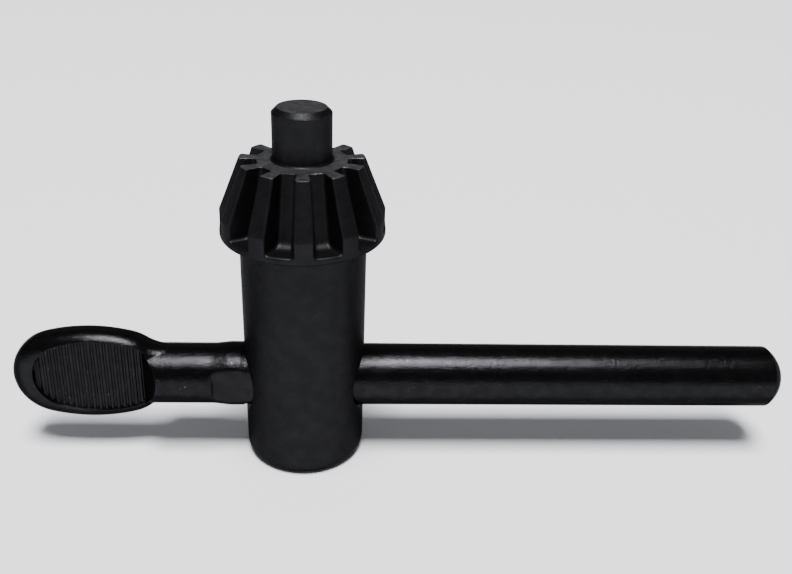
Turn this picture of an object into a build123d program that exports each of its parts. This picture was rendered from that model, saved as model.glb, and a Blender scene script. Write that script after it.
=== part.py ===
"""Drill chuck key with a thumb handle, built as its two real pieces.

Millimetres, +Z up.  The origin is the centre of the foot's flat face, on the
stem's axis.  The handle runs along X, with its thumb pad at the -X end.
"""
import math
import os

from build123d import *

# Pilot: the round nose that turns in the chuck's key hole
PILOT_DIAMETER = 7.938
PILOT_LENGTH = 7.05
PILOT_CHAMFER = 0.68
PILOT_ROOT_RADIUS = 0.4

# Toothed head: a bevel pinion whose teeth run down onto a thin flange
TEETH = 11
FIRST_TOOTH_ANGLE = -86.8        # degrees from +X, so that one tooth faces the front
FACE_DIAMETER = 16.9             # across the tooth tips at the top face
HEAD_DIAMETER = 22.6             # across the flange
CONE_HEIGHT = 7.2
LAND_HEIGHT = 2.15               # straight foot of each tooth, above the flange
FLANGE_THICKNESS = 1.05
FLANGE_EDGE_RADIUS = 0.4
TOOTH_SHOULDER_RADIUS = 0.9      # where the cone turns into the straight foot
TOOTH_EDGE_RADIUS = 0.3          # long edges of every tooth, rounded by tumbling
TOOTH_WIDTH_AT_FACE = 1.95
TOOTH_WIDTH_AT_FLANGE = 2.4
TOOTH_DEPTH_AT_FACE = 2.45
TOOTH_DEPTH_AT_FLANGE = 3.2
GAP_FLOOR_WIDTH = 2.1
GAP_CORNER_RADIUS = 0.5
GAP_END_RADIUS = 1.4             # where each gap runs out on the flange

# Barrel and its cross hole
BARREL_DIAMETER = 17.46
BARREL_LENGTH = 35.35            # from the foot to the underside of the flange
FOOT_EDGE_WIDTH = 1.23           # rounded edge between the flat foot and the barrel
FOOT_EDGE_HEIGHT = 1.95
HOLE_HEIGHT = 12.25              # cross hole's axis above the foot
HOLE_CHAMFER = 0.5
HOLE_CLEARANCE = 0.01            # radial; the handle is driven in and swaged

# Handle rod and neck
ROD_DIAMETER = 9.15
ROD_REACH = 72.2                 # from the stem's axis to the plain end
ROD_DOME_HEIGHT = 2.4            # the end is turned to a shallow dome
ROD_CORNER_RADIUS = 0.4          # round the dome's edge
NECK_REDUCTION = 0.2             # off the diameter, drawn down beside the thumb pad

# Swage marks: flats pressed beside the barrel, which spread the rod
SWAGE_BULGE = 0.14               # radial growth that stops the rod at the hole
SWAGE_DEPTH = 0.78
SWAGE_LENGTH = 4.45              # from the barrel's side to the marks' far end
SWAGE_OVERLAP = 2.0              # how far the marks run on, round the barrel's curve
SWAGE_PUNCH_WIDTH = 6.0
SWAGE_CORNER_RADIUS = 1.5

# Thumb pad
PAD_CENTRE = 31.2                # from the stem's axis
PAD_RISE = 0.18                  # the oval stands this far above the rod's axis
PAD_LENGTH = 22.2
PAD_HEIGHT = 14.4
PAD_THICKNESS = 5.4
PAD_END_RADIUS = 6.6             # of the oval's two round ends
PAD_EDGE_RADIUS = 2.4
PAD_BLEND_RADIUS = 6.0           # between the oval and the neck
FAR_RIM = 3.4                    # rim left at the oval's free end
NECK_RIM = 1.05                  # rim left at the neck
SIDE_RIM = 1.5                   # rim left above and below
GRIP_RISE = 0.55                 # the grip's middle above the rod's axis
GRIP_TILT = 3.5                  # degrees that the front grip looks up, and the back one down
GRIP_DEPTH = 0.6
RAMP_ANGLE = 45.0                # slope at the neck's end of the grip
RIBS = 18
RIB_PITCH = 0.87
RIB_HEIGHT = 0.2
RIB_TOP_WIDTH = 0.34
RIB_BASE_WIDTH = 0.62

# Worked out from the sizes above
FLANGE_TOP = BARREL_LENGTH + FLANGE_THICKNESS
CONE_BOTTOM = FLANGE_TOP + LAND_HEIGHT
FACE_HEIGHT = CONE_BOTTOM + CONE_HEIGHT
TOTAL_HEIGHT = FACE_HEIGHT + PILOT_LENGTH
TOOTH_HEIGHT = LAND_HEIGHT + CONE_HEIGHT
PILOT_RADIUS = PILOT_DIAMETER / 2
FACE_RADIUS = FACE_DIAMETER / 2
HEAD_RADIUS = HEAD_DIAMETER / 2
BARREL_RADIUS = BARREL_DIAMETER / 2
FOOT_RADIUS = BARREL_RADIUS - FOOT_EDGE_WIDTH
ROD_RADIUS = ROD_DIAMETER / 2
NECK_RADIUS = (ROD_DIAMETER - NECK_REDUCTION) / 2
BULGE_RADIUS = ROD_RADIUS + SWAGE_BULGE
DOME_BASE = ROD_REACH - ROD_DOME_HEIGHT
BARREL_SIDE = -BARREL_RADIUS
SWAGE_END = BARREL_SIDE - SWAGE_LENGTH
SWAGE_FLAT = ROD_RADIUS - SWAGE_DEPTH
PAD_X = -PAD_CENTRE
HALF_PAD = PAD_THICKNESS / 2
GRIP_X = PAD_X + (FAR_RIM - NECK_RIM) / 2
GRIP_LENGTH = PAD_LENGTH - FAR_RIM - NECK_RIM
GRIP_HEIGHT = PAD_HEIGHT - 2 * SIDE_RIM
RIB_TOP = HALF_PAD - GRIP_DEPTH
GROOVE_FLOOR = RIB_TOP - RIB_HEIGHT
OVERCUT = 1.0                    # how far a cutting shape passes the metal
EDGE_SEARCH = 0.15               # how near to the tooth tips an edge counts as theirs

# The handle's own planes, through the cross hole's axis
HANDLE_AXIS = Axis((0, 0, HOLE_HEIGHT), (1, 0, 0))
HANDLE_FLAT = Plane.XY.offset(HOLE_HEIGHT)
HANDLE_UPRIGHT = Plane((0, 0, HOLE_HEIGHT), x_dir=(1, 0, 0), z_dir=(0, -1, 0))


def tooth_gap_corners(height):
    """Give one tooth gap's corners, opening along +X, at a height over the flange."""
    share = height / TOOTH_HEIGHT
    tip = HEAD_RADIUS + (FACE_RADIUS - HEAD_RADIUS) * share
    depth = TOOTH_DEPTH_AT_FLANGE + (TOOTH_DEPTH_AT_FACE - TOOTH_DEPTH_AT_FLANGE) * share
    tooth = TOOTH_WIDTH_AT_FLANGE + (TOOTH_WIDTH_AT_FACE - TOOTH_WIDTH_AT_FLANGE) * share
    half_mouth = math.pi * tip / TEETH - tooth / 2
    half_floor = GAP_FLOOR_WIDTH / 2
    flare = (half_mouth - half_floor) / depth
    floor = tip - depth
    outer = HEAD_RADIUS + OVERCUT
    half_outer = half_floor + flare * (outer - floor)
    return [(floor, -half_floor), (outer, -half_outer), (outer, half_outer), (floor, half_floor)]


def tip_radius(z):
    """Give the radius over the tooth tips at a height."""
    share = max(0, (z - CONE_BOTTOM) / CONE_HEIGHT)
    return HEAD_RADIUS + (FACE_RADIUS - HEAD_RADIUS) * share


def runs_down_a_tooth(edge):
    """Tell whether an edge lies between a tooth's flank and its outer land."""
    low, high = sorted((edge.start_point(), edge.end_point()), key=lambda point: point.Z)
    return (
        low.Z > FLANGE_TOP - EDGE_SEARCH
        and high.Z < FACE_HEIGHT + EDGE_SEARCH
        and high.Z - low.Z > EDGE_SEARCH
        and all(math.hypot(end.X, end.Y) > tip_radius(end.Z) - EDGE_SEARCH for end in (low, high))
    )


def oval(length, height, end_radius):
    """Draw an oval of four tangent arcs, round at both ends."""
    half_length = length / 2
    half_height = height / 2
    side_radius = half_length**2 + half_height**2 - 2 * half_length * end_radius
    side_radius /= 2 * (half_height - end_radius)
    share = end_radius / (side_radius - end_radius)
    x = (half_length - end_radius) * (1 + share)
    y = (side_radius - half_height) * share
    with BuildSketch() as outline:
        with BuildLine():
            ThreePointArc((-x, y), (0, half_height), (x, y))
            ThreePointArc((x, y), (half_length, 0), (x, -y))
            ThreePointArc((x, -y), (0, -half_height), (-x, -y))
            ThreePointArc((-x, -y), (-half_length, 0), (-x, y))
        make_face()
    return outline.sketch


def ribbed_floor():
    """Trace the grip's ribs and grooves along X, seen from above."""
    points = []
    for rib in range(RIBS):
        x = PAD_X + (rib - (RIBS - 1) / 2) * RIB_PITCH
        points.append((x - RIB_BASE_WIDTH / 2, GROOVE_FLOOR))
        points.append((x - RIB_TOP_WIDTH / 2, RIB_TOP))
        points.append((x + RIB_TOP_WIDTH / 2, RIB_TOP))
        points.append((x + RIB_BASE_WIDTH / 2, GROOVE_FLOOR))
    return points


# Tooth gap: the shape that the milling cutter takes out between two teeth
with BuildPart() as tooth_gap:
    with BuildSketch(Plane.XY.offset(FLANGE_TOP)):
        with BuildLine():
            Polyline(*tooth_gap_corners(0), close=True)
        make_face()
    with BuildSketch(Plane.XY.offset(FACE_HEIGHT + OVERCUT)):
        with BuildLine():
            Polyline(*tooth_gap_corners(TOOTH_HEIGHT + OVERCUT), close=True)
        make_face()
    loft(ruled=True)
    gap_bottom = tooth_gap.faces().sort_by(Axis.Z)[0]
    fillet(gap_bottom.edges().sort_by(Axis.X)[0], GAP_END_RADIUS)
    gap_floor = tooth_gap.faces().sort_by(Axis.X)[:2]
    gap_corners = [edge for edge in gap_floor.edges() if abs(edge.center().Y) > GAP_FLOOR_WIDTH / 3]
    fillet(gap_corners, GAP_CORNER_RADIUS)


# Key body: foot, barrel, toothed head and pilot, turned and milled from one bar
with BuildPart() as key_body:
    with BuildSketch(Plane.XZ) as stem_profile:
        with BuildLine():
            Polyline(
                (BARREL_RADIUS, FOOT_EDGE_HEIGHT),
                (BARREL_RADIUS, BARREL_LENGTH),
                (HEAD_RADIUS, BARREL_LENGTH),
                (HEAD_RADIUS, CONE_BOTTOM),
                (FACE_RADIUS, FACE_HEIGHT),
                (PILOT_RADIUS, FACE_HEIGHT),
                (PILOT_RADIUS, TOTAL_HEIGHT),
                (0, TOTAL_HEIGHT),
                (0, 0),
                (FOOT_RADIUS, 0),
            )
            TangentArc((BARREL_RADIUS, FOOT_EDGE_HEIGHT), (FOOT_RADIUS, 0), tangent=(0, -1))
        make_face()
        for corner, radius in (
            ((HEAD_RADIUS, BARREL_LENGTH), FLANGE_EDGE_RADIUS),
            ((HEAD_RADIUS, CONE_BOTTOM), TOOTH_SHOULDER_RADIUS),
            ((PILOT_RADIUS, FACE_HEIGHT), PILOT_ROOT_RADIUS),
        ):
            fillet(stem_profile.vertices().sort_by_distance(corner)[0], radius)
        pilot_corner = stem_profile.vertices().sort_by_distance((PILOT_RADIUS, TOTAL_HEIGHT))[0]
        chamfer(pilot_corner, PILOT_CHAMFER)
    revolve(axis=Axis.Z)

    # Eleven gaps leave the eleven teeth standing
    with PolarLocations(0, TEETH, start_angle=FIRST_TOOTH_ANGLE + 180 / TEETH):
        add(tooth_gap.part, mode=Mode.SUBTRACT)

    # Long edges of the teeth, from the top face down to the flange
    long_edges = key_body.edges().filter_by(runs_down_a_tooth)
    fillet(long_edges, TOOTH_EDGE_RADIUS)

    # Cross hole for the handle, chamfered where it breaks out of the barrel
    with BuildSketch(Plane.YZ):
        with Locations((0, HOLE_HEIGHT)):
            Circle(ROD_RADIUS + HOLE_CLEARANCE)
    extrude(amount=HEAD_RADIUS, both=True, mode=Mode.SUBTRACT)
    hole_wall = key_body.faces().filter_by(GeomType.CYLINDER).sort_by_distance((0, 0, HOLE_HEIGHT))[0]
    chamfer(hole_wall.edges().filter_by(GeomType.LINE, reverse=True), HOLE_CHAMFER)


# Pad blank: the oval, blended into the neck and rounded all round its edge
pad_oval = oval(PAD_LENGTH, PAD_HEIGHT, PAD_END_RADIUS)
with BuildPart() as pad_blank:
    with BuildSketch(HANDLE_UPRIGHT) as pad_outline:
        with Locations((PAD_X, PAD_RISE)):
            add(pad_oval)
        with Locations((PAD_X, 0)):
            Rectangle(SWAGE_END - PAD_X, 2 * NECK_RADIUS, align=(Align.MIN, Align.CENTER))
        neck_corners = pad_outline.vertices().filter_by_position(Axis.Y, -NECK_RADIUS, NECK_RADIUS)
        fillet(neck_corners.sort_by(Axis.X)[:2], PAD_BLEND_RADIUS)
    extrude(amount=HALF_PAD, both=True)
    fillet(pad_blank.faces().filter_by(Plane.XZ).edges(), PAD_EDGE_RADIUS)


# Grip: the ribbed recess cut into both faces, which ramps up to the neck at one end
grip_oval = oval(GRIP_LENGTH, GRIP_HEIGHT, PAD_END_RADIUS - SIDE_RIM)
ribs_end = PAD_X + RIBS * RIB_PITCH / 2
ramp_run = ROD_RADIUS / math.tan(math.radians(RAMP_ANGLE))
with BuildPart() as grip_cut:
    with BuildSketch(HANDLE_FLAT):
        with BuildLine():
            Polyline(
                (PAD_X - PAD_LENGTH / 2, GROOVE_FLOOR + ROD_RADIUS),
                (PAD_X - PAD_LENGTH / 2, GROOVE_FLOOR),
                *ribbed_floor(),
                (ribs_end, GROOVE_FLOOR),
                (ribs_end + ramp_run, GROOVE_FLOOR + ROD_RADIUS),
                close=True,
            )
        make_face()
        mirror(about=Plane.XZ)
    extrude(amount=PAD_HEIGHT, both=True)
    with BuildSketch(HANDLE_UPRIGHT):
        with Locations((GRIP_X, GRIP_RISE)):
            add(grip_oval)
    extrude(amount=PAD_HEIGHT, both=True, mode=Mode.INTERSECT)
tilted_grip = grip_cut.part.rotate(HANDLE_AXIS, -GRIP_TILT)


# Thumb handle: one forging, a long plain rod with a flattened oval thumb pad
with BuildPart() as thumb_handle:
    # Neck, swaged bulge and rod, turned about X
    with BuildSketch(HANDLE_FLAT) as shank_profile:
        with BuildLine():
            Polyline(
                (PAD_X, 0),
                (PAD_X, NECK_RADIUS),
                (SWAGE_END, NECK_RADIUS),
                (SWAGE_END + SWAGE_LENGTH / 2, BULGE_RADIUS),
                (BARREL_SIDE - SWAGE_BULGE, BULGE_RADIUS),
                (BARREL_SIDE, ROD_RADIUS),
                (DOME_BASE, ROD_RADIUS),
            )
            TangentArc((ROD_REACH, 0), (DOME_BASE, ROD_RADIUS), tangent=(0, 1))
            Line((ROD_REACH, 0), (PAD_X, 0))
        make_face()
        dome_corner = shank_profile.vertices().sort_by_distance((DOME_BASE, ROD_RADIUS))[0]
        fillet(dome_corner, ROD_CORNER_RADIUS)
    revolve(axis=HANDLE_AXIS)

    add(pad_blank.part)
    add(tilted_grip, mode=Mode.SUBTRACT)

    # Swage flats on the front and back, beside the barrel
    with BuildSketch(HANDLE_UPRIGHT.offset(SWAGE_FLAT)):
        with Locations(((SWAGE_END + BARREL_SIDE + SWAGE_OVERLAP) / 2, 0)):
            RectangleRounded(SWAGE_LENGTH + SWAGE_OVERLAP, SWAGE_PUNCH_WIDTH, SWAGE_CORNER_RADIUS)
    mark = extrude(amount=ROD_RADIUS, mode=Mode.PRIVATE)
    add([mark, mirror(mark, about=Plane.XZ, mode=Mode.PRIVATE)], mode=Mode.SUBTRACT)


key_body.part.label = "key_body"
thumb_handle.part.label = "thumb_handle"

os.makedirs("parts", exist_ok=True)
export_step(key_body.part, "parts/key_body.step")
export_step(thumb_handle.part, "parts/thumb_handle.step")
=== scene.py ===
"""Drill chuck key with a thumb handle: its looks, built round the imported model."""
import math

import bmesh
import bpy
from mathutils import Matrix, Vector

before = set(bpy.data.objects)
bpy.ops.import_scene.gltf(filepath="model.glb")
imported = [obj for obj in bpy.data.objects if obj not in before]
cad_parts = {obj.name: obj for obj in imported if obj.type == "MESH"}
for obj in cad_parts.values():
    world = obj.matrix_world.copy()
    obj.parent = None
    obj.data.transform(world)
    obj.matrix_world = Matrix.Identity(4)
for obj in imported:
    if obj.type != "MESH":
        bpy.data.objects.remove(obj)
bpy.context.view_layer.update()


# Bench top: a plain pale laminate board that the key stands on.  It is one flat
# sheet, wide enough to fill every view, with a faint matt unevenness.
MM = 0.001
BENCH_WIDTH = 24.0
BENCH_COLOUR = (0.79, 0.795, 0.83, 1)
BENCH_ROUGHNESS = 0.62
BENCH_SPOT_SIZE = 4 * MM
BENCH_BUMP_HEIGHT = 0.02 * MM


class Signal:
    """A number that varies over a surface; arithmetic on it adds Math nodes."""

    def __init__(self, finish, socket):
        self.finish = finish
        self.socket = socket

    def maths(self, operation, first, second):
        return self.finish.node("ShaderNodeMath", {"operation": operation}, {0: first, 1: second})

    def __add__(self, other):
        return self.maths("ADD", self, other)

    def __sub__(self, other):
        return self.maths("SUBTRACT", self, other)

    def __rsub__(self, other):
        return self.maths("SUBTRACT", other, self)

    def __mul__(self, other):
        return self.maths("MULTIPLY", self, other)

    __radd__ = __add__
    __rmul__ = __mul__


class Finish:
    """A procedural surface finish, built node by node on one material."""

    def __init__(self, name):
        self.material = bpy.data.materials.new(name)
        self.material.use_nodes = True
        self.tree = self.material.node_tree
        self.shader = self.tree.nodes["Principled BSDF"]
        self.place = self.node("ShaderNodeTexCoord", {}, {}, "Object")

    def plug(self, socket, value):
        if isinstance(value, Signal):
            self.tree.links.new(value.socket, socket)
        else:
            socket.default_value = value

    def node(self, kind, settings, inputs, output=0):
        node = self.tree.nodes.new(kind)
        for name, value in settings.items():
            setattr(node, name, value)
        for name, value in inputs.items():
            self.plug(node.inputs[name], value)
        return Signal(self, node.outputs[output])

    def stretched(self, scale):
        """Give the place on the piece, scaled along X, Y and Z."""
        return self.node("ShaderNodeMapping", {}, {"Vector": self.place, "Scale": scale})

    def noise(self, place, size, detail=2.0):
        """Give cloudy noise from 0 to 1, with spots of about the size given."""
        inputs = {"Vector": place, "Scale": 1 / size, "Detail": detail}
        return self.node("ShaderNodeTexNoise", {}, inputs, "Fac")

    def step(self, value, low, high):
        """Rise smoothly from 0 to 1 as the value goes from low to high."""
        inputs = {"Value": value, "From Min": low, "From Max": high}
        return self.node("ShaderNodeMapRange", {"interpolation_type": "SMOOTHSTEP"}, inputs)

    def blend(self, factor, first, second):
        """Go from one colour to another."""
        inputs = {"Factor": factor, 6: first, 7: second}
        return self.node("ShaderNodeMix", {"data_type": "RGBA"}, inputs, 2)

    def bump(self, height, distance, strength=1.0, normal=None):
        """Turn a height from 0 to 1 into a surface normal."""
        inputs = {"Height": height, "Distance": distance, "Strength": strength}
        if normal:
            inputs["Normal"] = normal
        return self.node("ShaderNodeBump", {}, inputs)

    def coat_with(self, **sockets):
        """Set the shader's sockets, written with _ for the space in their names."""
        for name, value in sockets.items():
            self.plug(self.shader.inputs[name.replace("_", " ")], value)


bench_mesh = bmesh.new()
bmesh.ops.create_grid(bench_mesh, x_segments=1, y_segments=1, size=BENCH_WIDTH / 2)
bench_data = bpy.data.meshes.new("bench")
bench_mesh.to_mesh(bench_data)
bench_mesh.free()
bench = bpy.data.objects.new("bench", bench_data)
bpy.context.scene.collection.objects.link(bench)

laminate = Finish("pale_laminate")
laminate_unevenness = laminate.noise(laminate.place, BENCH_SPOT_SIZE)
laminate.coat_with(
    Base_Color=BENCH_COLOUR,
    Roughness=BENCH_ROUGHNESS,
    Normal=laminate.bump(laminate_unevenness, BENCH_BUMP_HEIGHT),
)
bench_data.materials.append(laminate.material)


# Key body: foot, barrel, bevel teeth and pilot, turned and milled from one steel
# bar, then blackened in hot oxide.  The finish is satin, with faint turning rings
# and a little bare metal where the edges have rubbed.
OXIDE_COLOUR = (0.0125, 0.0125, 0.0135, 1)
OXIDE_FADED = (0.0150, 0.0150, 0.0162, 1)
# Lighter colour for the head's upward faces: partly rubbed oxide, partly a painted sheen that
# stands in for the light these faces reflect.
WORN_AND_SHEEN_TOP = (0.092, 0.092, 0.096, 1)
RUBBED_EDGE = (0.20, 0.20, 0.205, 1)
OXIDE_METALLIC = 0.85
OXIDE_SPECULAR = 0.17
OXIDE_RIM_TINT = (0.10, 0.10, 0.11, 1)
OXIDE_ROUGHNESS = 0.42
FADE_RANGE = (0.35, 0.68)
RING_STRETCH = (0.06, 0.06, 1.0)
RING_PITCH = 0.11 * MM
GRAIN_SIZE = 0.16 * MM
CLOUD_SIZE = 2.0 * MM
SMUDGE_SIZE = 1.1 * MM
FINISH_DEPTH = 0.06 * MM
EDGE_RADIUS = 0.30 * MM
WORN_TURN = (0.015, 0.16)
WORN_PATCHES = (0.46, 0.70)
UPWARD_RANGE = (0.90, 0.99)
WORN_AND_SHEEN_PATCHES = (0.3, 0.7)
WORN_AND_SHEEN_EVENLY = 0.55
HEAD_BOTTOM = 40 * MM

oxide = Finish("turned_black_oxide")
rings = oxide.noise(oxide.stretched(RING_STRETCH), RING_PITCH, 3.0)
grain = oxide.noise(oxide.place, GRAIN_SIZE, 3.0)
clouds = oxide.noise(oxide.place, CLOUD_SIZE, 6.0)
smudges = oxide.noise(oxide.place, SMUDGE_SIZE, 3.0)
soft_normal = oxide.node("ShaderNodeBevel", {"samples": 6}, {"Radius": EDGE_RADIUS})
face_normal = oxide.node("ShaderNodeNewGeometry", {}, {}, "Normal")
straightness = oxide.node(
    "ShaderNodeVectorMath", {"operation": "DOT_PRODUCT"}, {0: soft_normal, 1: face_normal}, "Value"
)
upward = oxide.node("ShaderNodeSeparateXYZ", {}, {0: face_normal}, "Z")
height = oxide.node("ShaderNodeSeparateXYZ", {}, {0: oxide.place}, "Z")
on_head = oxide.step(height, HEAD_BOTTOM, HEAD_BOTTOM + MM)
# The head's upward faces are painted lighter in patches, partly as rubbed oxide and partly as a
# painted sheen for the light they reflect.
worn_and_sheen_patchiness = WORN_AND_SHEEN_EVENLY + oxide.step(smudges, *WORN_AND_SHEEN_PATCHES) * (1 - WORN_AND_SHEEN_EVENLY)
worn_and_sheen_top = oxide.step(upward, *UPWARD_RANGE) * on_head * worn_and_sheen_patchiness
edge_wear = oxide.step(1 - straightness, *WORN_TURN) * oxide.step(smudges, *WORN_PATCHES)
body_tone = oxide.blend(oxide.step(clouds, *FADE_RANGE), OXIDE_COLOUR, OXIDE_FADED)
# Here the painted sheen and rubbed oxide on the head's upward faces are mixed into the body
# colour.
body_tone = oxide.blend(worn_and_sheen_top, body_tone, WORN_AND_SHEEN_TOP)
oxide.coat_with(
    Base_Color=oxide.blend(edge_wear * 0.5, body_tone, RUBBED_EDGE),
    Roughness=OXIDE_ROUGHNESS + (smudges - 0.5) * 0.08 + (grain - 0.5) * 0.22,
    Metallic=OXIDE_METALLIC + edge_wear * 0.10,
    Specular_IOR_Level=OXIDE_SPECULAR,
    Specular_Tint=OXIDE_RIM_TINT,
    Normal=oxide.bump(rings * 0.4 + grain * 0.6, FINISH_DEPTH, 1.0, soft_normal),
)
key_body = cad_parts["key_body"]
key_body.data.materials.clear()
key_body.data.materials.append(oxide.material)


# Thumb handle: one forged steel rod with a flattened thumb pad, driven through the
# barrel and swaged.  The forging skin is finely pitted under the same oxide, and
# it is oiled, so that it is glossier than the body.
SKIN_COLOUR = (0.0110, 0.0110, 0.0120, 1)
SKIN_FADED = (0.0145, 0.0145, 0.0156, 1)
# Colour of the light specks on the handle: painted glints, standing in for sparkle on the oiled
# rod.
SKIN_PAINTED_GLINT = (0.14, 0.14, 0.143, 1)
SKIN_METALLIC = 0.9
SKIN_SPECULAR = 0.17
SKIN_RIM_TINT = (0.10, 0.10, 0.11, 1)
SKIN_ROUGHNESS = 0.165
SKIN_CLOUD_SIZE = 1.6 * MM
PIT_SIZE = 0.36 * MM
PIT_DEPTH = 0.07 * MM
PORE_SIZE = 0.18 * MM
GLINT_SPECK_SIZE = 0.24 * MM
GLINT_SPECK_RANGE = (0.72, 0.77)
DRAW_STRETCH = (0.25, 1.0, 1.0)
DRAW_LINE_WIDTH = 0.22 * MM
RIB_EDGE_RADIUS = 0.20 * MM
NECK_EDGE_RADIUS = 1.2 * MM
NECK_RANGE = (-16.5 * MM, -15.5 * MM)
NECK_END_RANGE = (-7.6 * MM, -7.2 * MM)

skin = Finish("forged_black_oxide")
pits = skin.noise(skin.place, PIT_SIZE, 3.0)
pores = skin.noise(skin.place, PORE_SIZE, 3.0)
draw_lines = skin.noise(skin.stretched(DRAW_STRETCH), DRAW_LINE_WIDTH, 3.0)
skin_clouds = skin.noise(skin.place, SKIN_CLOUD_SIZE, 6.0)
# Light specks scattered over the whole handle: painted glints.
painted_glints = skin.step(skin.noise(skin.place, GLINT_SPECK_SIZE), *GLINT_SPECK_RANGE)
# The neck's taper and the swage marks flow into the rod, so they are shaded softer.
along = skin.node("ShaderNodeSeparateXYZ", {}, {0: skin.place}, "X")
in_neck = skin.step(along, *NECK_RANGE) * (1 - skin.step(along, *NECK_END_RANGE))
rib_normal = skin.node("ShaderNodeBevel", {"samples": 6}, {"Radius": RIB_EDGE_RADIUS})
neck_normal = skin.node("ShaderNodeBevel", {"samples": 12}, {"Radius": NECK_EDGE_RADIUS})
skin_soft_normal = skin.node(
    "ShaderNodeMix", {"data_type": "VECTOR"}, {0: in_neck, 4: rib_normal, 5: neck_normal}, 1
)
skin_height = pits * 0.50 + pores * 0.35 + draw_lines * 0.15
skin_shade = skin.blend(skin.step(skin_clouds, *FADE_RANGE), SKIN_COLOUR, SKIN_FADED)
skin.coat_with(
    Base_Color=skin.blend(painted_glints, skin_shade, SKIN_PAINTED_GLINT),
    Roughness=SKIN_ROUGHNESS + (pits - 0.5) * 0.36,
    Metallic=SKIN_METALLIC,
    Specular_IOR_Level=SKIN_SPECULAR,
    Specular_Tint=SKIN_RIM_TINT,
    Normal=skin.bump(skin_height, PIT_DEPTH, 1.0, skin_soft_normal),
)
thumb_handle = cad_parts["thumb_handle"]
thumb_handle.data.materials.clear()
thumb_handle.data.materials.append(skin.material)


# Lamp, back panel and room: a soft box above the key and a little in front of it,
# a dim pale panel low down behind it, and a pale room that is dimmer than both.
LAMP_PLACE = (0.0, -0.95, 4.0)
LAMP_SIZE = (1.2, 1.5)
LAMP_POWER = 455.0
PANEL_PLACE = (0.0, 2.4, 1.15)
PANEL_SIZE = (3.4, 1.2)
PANEL_POWER = 13.0
AIM = Vector((0.0, 0.0, 0.02))
ROOM_COLOUR = (0.92, 0.95, 1.0, 1)
ROOM_STRENGTH = 0.18


def soft_light(name, place, size, power):
    """Hang a rectangular light that points at the key."""
    light_data = bpy.data.lights.new(name, "AREA")
    light_data.shape = "RECTANGLE"
    light_data.size, light_data.size_y = size
    light_data.energy = power
    light = bpy.data.objects.new(name, light_data)
    bpy.context.scene.collection.objects.link(light)
    light.location = place
    light.rotation_mode = "QUATERNION"
    light.rotation_quaternion = (AIM - Vector(place)).to_track_quat("-Z", "Y")


room = bpy.data.worlds.new("room")
room.use_nodes = True
room.node_tree.nodes["Background"].inputs["Color"].default_value = ROOM_COLOUR
room.node_tree.nodes["Background"].inputs["Strength"].default_value = ROOM_STRENGTH
bpy.context.scene.world = room
soft_light("soft_box", LAMP_PLACE, LAMP_SIZE, LAMP_POWER)
soft_light("back_panel", PANEL_PLACE, PANEL_SIZE, PANEL_POWER)


# Camera: close to the key and above it, looking down at the barrel.
CAMERA_PLACE = (5.80 * MM, -107.19 * MM, 82.66 * MM)
CAMERA_YAW = -3.27
CAMERA_PITCH = -26.57
CAMERA_ROLL = 2.16
LENS = 38.65
LENS_SHIFT = (0.0094, -0.0166)
NEAREST = 0.01
FARTHEST = 20.0

camera_data = bpy.data.cameras.new("camera")
camera_data.lens = LENS
camera_data.shift_x, camera_data.shift_y = LENS_SHIFT
camera_data.clip_start = NEAREST
camera_data.clip_end = FARTHEST
camera = bpy.data.objects.new("camera", camera_data)
bpy.context.scene.collection.objects.link(camera)
camera.matrix_world = (
    Matrix.Translation(CAMERA_PLACE)
    @ Matrix.Rotation(math.radians(CAMERA_YAW), 4, "Z")
    @ Matrix.Rotation(math.radians(90 + CAMERA_PITCH), 4, "X")
    @ Matrix.Rotation(math.radians(CAMERA_ROLL), 4, "Z")
)
bpy.context.scene.camera = camera
